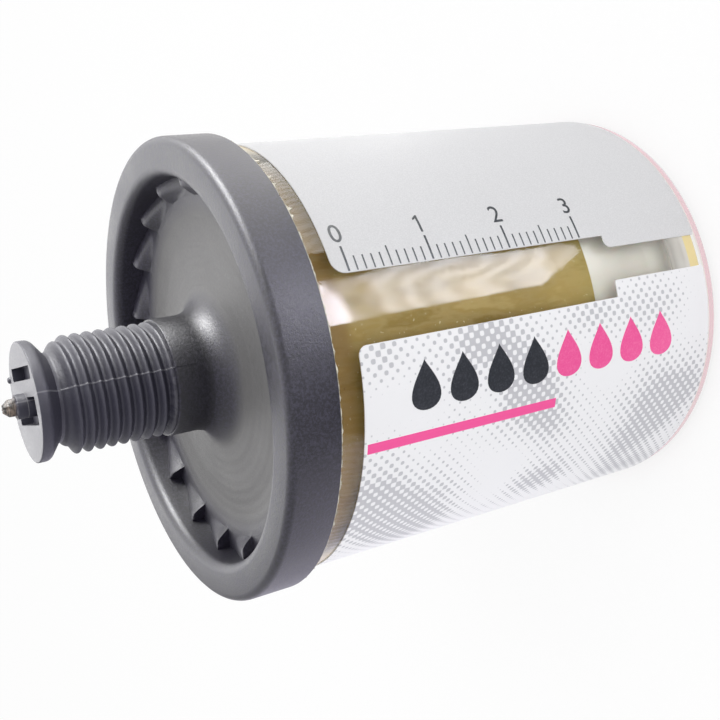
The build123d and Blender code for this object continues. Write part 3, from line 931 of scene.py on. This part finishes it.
def makePiston(s):
    low, high = box("piston_body")
    seal = box("piston_seal")[0][2]
    lip = box("piston_seal")[1][2]
    outer, inner = high[0], high[0] - s["wall"]
    under = high[2] - s["crownWall"]
    material = pistonLook()
    body = lathe("piston_shell", rounded([
        (0, high[2], 0),
        (s["crownRadius"], high[2], s["edge"] * 2),
        (s["shoulderRadius"], lip, s["edge"]),
        (s["shoulderRadius"], seal, 0),
        (outer, seal, s["edge"]),
        (outer, low[2], s["edge"]),
        (inner, low[2], s["edge"]),
        (inner, seal - s["crownWall"], s["edge"] * 3),
        (s["shoulderRadius"] - s["crownWall"], seal - s["crownWall"], s["edge"]),
        (s["crownRadius"] - s["crownWall"], under, s["edge"] * 3),
        (0, under, 0),
    ]), material)
    top, foot = under + s["ribSink"], under - s["ribDrop"]
    hub = lathe("piston_hub", rounded([
        (s["hubBore"], top, 0),
        (s["hubBore"], foot, s["edge"]),
        (s["hubRadius"], foot, s["edge"]),
        (s["hubRadius"], top, 0),
    ]), material, segments=96)
    size = (s["crownRadius"] - s["crownWall"] - s["hubBore"] - s["ribShort"], s["ribWall"], top - foot)
    ribs = boxRing("piston_ribs", s["ribs"], (0, 360 / s["ribs"]), s["hubBore"], size, top, material)
    piston = joined("follower_piston", [body, hub, ribs])
    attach(piston, "piston")
    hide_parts("piston_body")


sealSettings = {"inner": 22.7, "taper": 0.35, "lipHeight": 0.2, "lipWidth": 0.7, "round": 0.08}


def makeSeal(s):
    low, high = box("piston_seal")
    path = rounded([
        (s["inner"], low[2], 0),
        (high[0] - s["taper"], low[2], s["round"]),
        (high[0], high[2] - s["lipHeight"], s["round"]),
        (high[0], high[2], 0),
        (high[0] - s["lipWidth"], high[2] - s["lipHeight"], s["round"]),
        (s["inner"], high[2] - s["lipHeight"], 0),
    ])
    tones = rgb(206, 196, 168), rgb(222, 213, 188)
    material = cloudedLook("sealRubber", *tones, (0.6,), (0.3, 0.7), 0.45, (0.1, 0.00005), (6.0, 2.0, 0.6))
    seal = lathe("piston_lip", path, material)
    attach(seal, "piston")
    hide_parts("piston_seal")


sealTop, plate = box("piston_seal")[1][2], box("grease_charge")[1][2]
makeGrease(greaseSettings, pistonSettings["shoulderRadius"], sealTop, plate)
makePiston(pistonSettings)
makeSeal(sealSettings)
print("grease and piston made")


# printed label: flat shapes as (arc, height), wrapped round the cup

def pressed(name, shapes, material, place, step=0):
    # flat shapes given a thickness; place(p, q, lift) puts a point, with lift 0 or 1
    work = bmesh.new()
    for flat in shapes:
        if isinstance(flat, list):
            work.faces.new([work.verts.new((p, q, 0)) for p, q in flat])
        else:
            work.from_mesh(flat)
    bmesh.ops.remove_doubles(work, verts=work.verts, dist=1e-4)
    if step:
        arcs = [v.co.x for v in work.verts]
        for k in range(ceil(min(arcs) / step), floor(max(arcs) / step) + 1):
            whole = work.verts[:] + work.edges[:] + work.faces[:]
            spot = (k * step, 0, 0)
            bmesh.ops.bisect_plane(work, geom=whole, dist=1e-5, plane_co=spot, plane_no=(1, 0, 0))
    for part in bmesh.ops.extrude_face_region(work, geom=work.faces[:])["geom"]:
        if isinstance(part, bmesh.types.BMVert):
            part.co.z = 1
    for vert in work.verts:
        vert.co = Vector(place(*vert.co)) * mm
    return faceOut(finishObject(name, bakedMesh(work, name), material, 40))


def wrapped(name, shapes, inner, outer, material, step=0.8):
    def place(arc, z, lift):
        radius = inner + (outer - inner) * lift
        turn = arc / outer - pi / 2
        return radius * cos(turn), radius * sin(turn), z

    return pressed(name, shapes, material, place, step)


labelSettings = {
    "dotPitch": 0.98,
    "stripe": (-15.2, -14.04, 27.1, 52.4),  # arc from, arc to, height from, height to
    "window": 3.76,  # half the window's width
    "slit": (-1.76, 2.2),  # arcs of the narrow part's sides
    "step": 17.0,
    "skew": 0.62,  # the sheet is wrapped a little askew
    "corners": (1.5, 1.0),
    "clouds": [  # dotted areas: arc, height, their half sizes, strength
        (-6.0, 37.0, 3.6, 5.5, 0.62),
        (-9.5, 32.0, 4.0, 4.5, 0.5),
        (-13.5, 30.5, 3.6, 4.5, 0.62),
        (-18.5, 27.0, 3.2, 3.5, 0.4),
        (-22.5, 51.0, 6.0, 6.0, 0.8),
        (-29.0, 44.0, 6.0, 7.0, 0.8),
        (-17.5, 7.0, 5.5, 6.5, 0.72),
        (-24.0, 11.5, 4.0, 5.5, 0.55),
        (-27.0, 24.5, 3.4, 4.6, 0.7),
        (-5.5, 12.0, 3.2, 7.0, 0.42),
        (-5.0, 23.0, 2.6, 5.0, 0.5),
        (-31.0, 8.0, 4.0, 7.0, 0.6),
        (-5.0, 50.5, 3.0, 2.6, 0.36),
    ],
}


def labelLook(s, radius):
    mat = Mat("labelFilm")
    x, y, z = mat.split(mat.place)
    arc = x.calc("ARCTAN2", y * -1.0) * radius
    wave = 2 * pi / s["dotPitch"] * 0.7071
    screen = ((arc + z) * wave).calc("COSINE") + ((arc - z) * wave).calc("COSINE")
    field = mat.noise(0.09, 3.0, 0.6) * 0.9 - 0.45
    for cloudArc, cloudHeight, wide, tall, strength in s["clouds"]:
        off = (arc - cloudArc) / wide
        up = (z - cloudHeight) / tall
        field = field + (off * off + up * up).calc("MULTIPLY", -1.0).calc("EXPONENT") * strength
    behind = (1 - arc.smooth(-42, -36)) * (mat.noise(0.055, 1.0) * 2.4 - 0.75)
    dots = (screen + (field + behind).calc("MINIMUM", 0.62) * 4.6).smooth(1.9, 2.6)
    lower = arc.calc("LESS_THAN", 0.0)
    sparkle = mat.noise(7.0, 2.0, 0.7)
    silver = mat.blend(sparkle.smooth(0.35, 0.7), rgb(211, 211, 213), rgb(221, 221, 223))
    film = mat.blend(lower, silver, rgb(241, 241, 244))
    colour = mat.blend(dots * lower * 0.92, film, rgb(192, 192, 198))
    stripe = arc.between(*s["stripe"][:2]) * z.between(*s["stripe"][2:])
    colour = mat.blend(stripe, colour, rgb(246, 92, 160))
    normal = mat.bump(mat.noise(3.0, 3.0, 0.6), 0.08, 0.00006)
    return mat.finish(mat.plastic(colour, 0.5, normal, Specular_IOR_Level=0.06))


def makeLabel(s):
    low, high = box("label_wrap")
    outer, inner = high[0], box("container")[1][0]
    start, end = low[2], high[2]
    far = 2 * pi * outer
    width, step = s["window"], s["step"]
    outline = rounded([
        (s["slit"][1], start, 0.3),
        (s["slit"][1], step, 0.9),
        (width, step, 0.1),
        (width, end, s["corners"][0]),
        (far - width, end - s["skew"], s["corners"][1]),
        (far - width, step, 0.1),
        (far + s["slit"][0], step, 0.35),
        (far + s["slit"][0], start, 0.3),
    ])
    label = wrapped("wrap_label", [outline], inner, outer, labelLook(s, outer))
    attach(label, "casing")
    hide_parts("label_wrap")


makeLabel(labelSettings)

printSettings = {
    "thick": 0.025,
    "scaleStart": 51.55,
    "divisions": 30,
    "division": 1.0355,
    "foot": 3.9,
    "lengths": (1.6, 2.25, 2.82),  # single, fifth and tenth marks
    "lines": (0.17, 0.17, 0.24),
    "figures": 4,
    "figureArc": 8.28,
    "figureTall": 2.15,
    "dropArc": -9.0,
    "dropFrom": 45.2,
    "dropPitch": 4.95,
    "dropSize": (2.7, 2.0),  # half length and half width
    "drops": 8,
    "step": 0.4,  # arc between the bends that wrap the ink
}


def scaleMarks(s, base, material):
    marks = Geo("scaleMarks")
    count = marks.size("Mark Count", s["divisions"] + 1, "NodeSocketInt")
    first = marks.size("First Height", s["scaleStart"] * mm)
    apart = marks.size("Division", s["division"] * mm)
    foot = marks.size("Foot Arc", s["foot"] * mm)
    sizes = [marks.size(f"Length {i}", v * mm) for i, v in enumerate(s["lengths"])]
    lines = [marks.size(f"Line {i}", v * mm) for i, v in enumerate(s["lines"])]
    radius = marks.size("Wrap Radius", base * mm)
    thick = marks.size("Ink Height", s["thick"] * mm)
    index = marks.add("GeometryNodeInputIndex")
    fifth, tenth = [(index + 0.5).calc("MODULO", every).calc("LESS_THAN", 1.0) for every in (5.0, 10.0)]
    length = sizes[0] + fifth * (sizes[1] - sizes[0]) + tenth * (sizes[2] - sizes[1])
    line = lines[0] + fifth * (lines[1] - lines[0]) + tenth * (lines[2] - lines[1])
    row = marks.add("GeometryNodeMeshLine", {"mode": "OFFSET"}, {"Count": count})
    spot = marks.join(foot + length / 2, first - index * apart, thick / 2)
    row = marks.add("GeometryNodeSetPosition", None, {0: row, "Position": spot})
    mark = marks.add("GeometryNodeMeshCube", None, {"Size": (1, 1, 1), "Vertices X": 6})
    placed = {"Points": row, "Instance": mark, "Scale": marks.join(length, line, thick)}
    placed = marks.add("GeometryNodeInstanceOnPoints", None, placed)
    flat = marks.add("GeometryNodeRealizeInstances", None, {0: placed})
    arc, height, lift = marks.split(marks.add("GeometryNodeInputPosition"))
    turn = arc / radius - pi / 2
    wrap = marks.join(turn.calc("COSINE") * (radius + lift), turn.calc("SINE") * (radius + lift), height)
    bent = marks.add("GeometryNodeSetPosition", None, {0: flat, "Position": wrap})
    return marks.build("scale_marks", bent, material)


def figure(text, tall, spot, turn):  # a flat figure as a mesh, in millimetres
    curve = bpy.data.curves.new("figure", "FONT")
    curve.body = text
    curve.resolution_u = 6
    host = linked("figure", curve)
    mesh = grownMesh(host)
    bpy.data.objects.remove(host)
    xs, ys = [[v.co[axis] for v in mesh.vertices] for axis in (0, 1)]
    middle = Vector((-(min(xs) + max(xs)) / 2, -(min(ys) + max(ys)) / 2, 0))
    size = Matrix.Scale(tall / (max(ys) - min(ys)), 4)
    turned = Matrix.Rotation(turn, 4, "Z")
    mesh.transform(Matrix.Translation((*spot, 0)) @ turned @ size @ Matrix.Translation(middle))
    return mesh


def figureOne(tall, arc, height):  # a plain 1 with a small flag, its top towards +arc
    outline = [(0, 0.06), (0, -0.06), (1, -0.06), (1, 0.02), (0.83, 0.24), (0.72, 0.24), (0.83, 0.06)]
    return [(arc + (up - 0.5) * tall, height + left * tall) for up, left in outline]


def drop(arc, z, long, wide, steps=36):  # one plain drop, its tip towards +arc
    turns = [2 * pi * k / steps for k in range(steps)]
    return [(arc + long * cos(t), z + wide * 1.3 * sin(t) * abs(sin(t / 2)) ** 1.4) for t in turns]


def makePrint(s):
    base = box("label_wrap")[1][0]
    top = base + s["thick"]
    dark = inkLook("darkInk", rgb(62, 66, 70), rgb(96, 99, 103))
    marks = scaleMarks(s, base, dark)
    figures = []
    for i in range(s["figures"]):
        height = s["scaleStart"] - 10 * i * s["division"]
        if i == 1:
            figures.append(figureOne(s["figureTall"], s["figureArc"], height))
        else:
            figures.append(figure(str(i), s["figureTall"], (s["figureArc"], height), -pi / 2))
    scale = joined("scale_print", [marks, wrapped("scale_figures", figures, base, top, dark, s["step"])])
    half = s["drops"] // 2
    rows = [drop(s["dropArc"], s["dropFrom"] - k * s["dropPitch"], *s["dropSize"]) for k in range(s["drops"])]
    black = inkLook("blackInk", rgb(46, 49, 56), rgb(70, 72, 80))
    black = wrapped("dark_drops", rows[:half], base, top, black, s["step"])
    pink = inkLook("pinkInk", rgb(245, 82, 156), rgb(250, 112, 172))
    pink = wrapped("pink_drops", rows[half:], base, top, pink, s["step"])
    for piece, slot in ((scale, "label"), (black, "label"), (pink, "ring_label")):
        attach(piece, "casing")


makePrint(printSettings)
print("label made")


# dial scale on the ring label

dialSettings = {
    "marks": 13,
    "turnFrom": -90.0,  # degrees round from +X
    "turnStep": 27.5,
    "markFrom": 16.7,
    "markTo": 17.9,
    "markWide": 0.4,
    "figureAt": 19.7,
    "figureTall": 2.1,
    "thick": 0.025,
}


def makeDialScale(s):
    high = box("end_label")[0][2]
    ink = inkLook("whiteInk", rgb(238, 238, 238), rgb(250, 250, 250))
    size = (s["markTo"] - s["markFrom"], s["markWide"], s["thick"])
    marks = boxRing("dial_marks", s["marks"], (s["turnFrom"], s["turnStep"]), s["markFrom"], size, high, ink)
    figures = []
    for i in range(s["marks"]):
        turn = radians(s["turnFrom"] + i * s["turnStep"])
        spot = (-s["figureAt"] * cos(turn), s["figureAt"] * sin(turn))
        figures.append(figure(str(i), s["figureTall"], spot, pi / 2 - turn))

    def place(p, q, lift):  # read from below
        return -p, q, high - lift * s["thick"]

    scale = joined("dial_scale", [marks, pressed("dial_figures", figures, ink, place)])
    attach(scale, "casing")


makeDialScale(dialSettings)
print("dial scale made")


# materials of the carried nodes

def mouldedLook(name, dark, light, rough, flow=0.35, rings=0.0):
    mat = Mat(name)
    cloud = mat.noise(flow, 3.0, 0.6)
    speckle = mat.noise(4.5, 3.0, 0.7)
    colour = mat.blend(cloud.smooth() * 0.6 + speckle.smooth(0.35, 0.7) * 0.4, dark, light)
    height = mat.noise(6.0, 2.0, 0.6) * 0.5 + (mat.radius * 6.0).calc("SINE") * rings
    return mat.finish(mat.plastic(colour, cloud * 0.1 + (rough - 0.05), mat.bump(height, 0.3, 0.00008)))


def metalLook(name, dark, light, rough, turned=True):
    mat = Mat(name)
    x, y, z = mat.split(mat.place)
    if turned:
        brushed = mat.join(mat.radius * 9.0, z * 9.0, y * 0.2)
    else:
        brushed = mat.join(x * 0.4, y * 9.0, z * 9.0)
    lines = mat.noise(1.0, 3.0, 0.7, brushed)
    cloud = mat.noise(0.8, 3.0, 0.6)
    colour = mat.blend(lines.smooth() * 0.5 + cloud.smooth(0.35, 0.65) * 0.5, dark, light)
    rough = lines * 0.12 + (rough - 0.06)
    return mat.finish(mat.plastic(colour, rough, mat.bump(lines, 0.12, 0.00005), Metallic=1.0))


def rubberLook(name):
    mat = Mat(name)
    bloom = mat.noise(0.9, 4.0, 0.65)
    grain = mat.noise(5.0, 3.0, 0.7)
    colour = mat.blend(bloom.smooth(0.45, 0.75), rgb(24, 24, 26), rgb(52, 52, 54))
    return mat.finish(mat.plastic(colour, bloom * 0.2 + 0.45, mat.bump(grain, 0.25, 0.00008)))


def ringLabelLook(middle):  # printed on the side that faces down
    mat = Mat("ringLabelFilm")
    z = mat.split(mat.place)[2]
    sparkle = mat.noise(6.0, 2.0, 0.7)
    pink = mat.blend(sparkle.smooth(0.35, 0.7), rgb(236, 74, 146), rgb(246, 96, 164))
    colour = mat.blend(z.calc("GREATER_THAN", middle), pink, rgb(236, 232, 226))
    return mat.finish(mat.plastic(colour, 0.4, mat.bump(mat.noise(3.0, 3.0, 0.6), 0.08, 0.00006)))


def dialLook(face):
    mat = Mat("dialPlastic")
    x, y, z = mat.split(mat.place)
    cloud = mat.noise(0.4, 3.0, 0.6)
    colour = mat.blend(cloud.smooth(), rgb(226, 226, 224), rgb(240, 240, 238))
    pointer = z.between(face + 0.4, face + 0.7) * y.between(-7.5, -4.0) * x.between(-1.8, 1.8)
    colour = mat.blend(pointer, colour, rgb(44, 44, 50))
    return mat.finish(mat.plastic(colour, 0.4, mat.bump(mat.noise(5.0, 3.0, 0.6), 0.1, 0.00006)))


def boardLook():
    mat = Mat("boardLaminate")
    x, y = mat.split(mat.place)[:2]
    weave = (x * 9.0).calc("SINE") * (y * 9.0).calc("SINE")
    cloud = mat.noise(0.5, 3.0, 0.6)
    colour = mat.blend(cloud.smooth(), rgb(22, 84, 48), rgb(34, 112, 66))
    track = (mat.radius * 2.6).calc("SINE").smooth(0.55, 0.7)
    colour = mat.blend(track * 0.5, colour, rgb(60, 142, 84))
    return mat.finish(mat.plastic(colour, 0.35, mat.bump(weave * 0.3 + track, 0.2, 0.00006)))


labelLow, labelHigh = box("end_label")
carriedLooks = {
    "end_label": ringLabelLook((labelLow[2] + labelHigh[2]) / 2),
    "generator_housing": mouldedLook("housingPlastic", rgb(40, 40, 46), rgb(62, 61, 70), 0.4, 0.2, 0.12),
    "generator_o_ring": rubberLook("ringRubber"),
    "setting_dial": dialLook(box("setting_dial")[0][2]),
    "dial_o_ring": rubberLook("smallRingRubber"),
    "dial_clip": metalLook("clipSteel", rgb(150, 150, 153), rgb(192, 192, 195), 0.32),
    "wiper_contact": metalLook("wiperBrass", rgb(190, 158, 88), rgb(220, 192, 126), 0.3, False),
    "circuit_board": boardLook(),
    "resistor_chips": mouldedLook("chipCeramic", rgb(30, 30, 34), rgb(66, 66, 70), 0.45, 1.6),
    "contact_spring": metalLook("springBrass", rgb(190, 158, 88), rgb(220, 192, 126), 0.3, False),
    "cell_carrier": mouldedLook("carrierPlastic", rgb(200, 200, 194), rgb(222, 222, 216), 0.45),
    "gas_cell": metalLook("cellSteel", rgb(168, 168, 172), rgb(206, 206, 210), 0.28),
    "vent_membrane": cloudedLook(
        "membraneFelt", rgb(220, 220, 218), rgb(244, 244, 243),
        (3.5, 5.0, 0.8), (0.35, 0.65), 0.85, (0.5, 0.0001),
    ),
    "vent_cover": mouldedLook("ventPlastic", rgb(200, 200, 194), rgb(222, 222, 216), 0.45, 0.3, 0.1),
}
for nodeName, look in carriedLooks.items():
    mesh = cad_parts[nodeName].data
    mesh.materials.clear()
    mesh.materials.append(look)
print("carried nodes dressed")
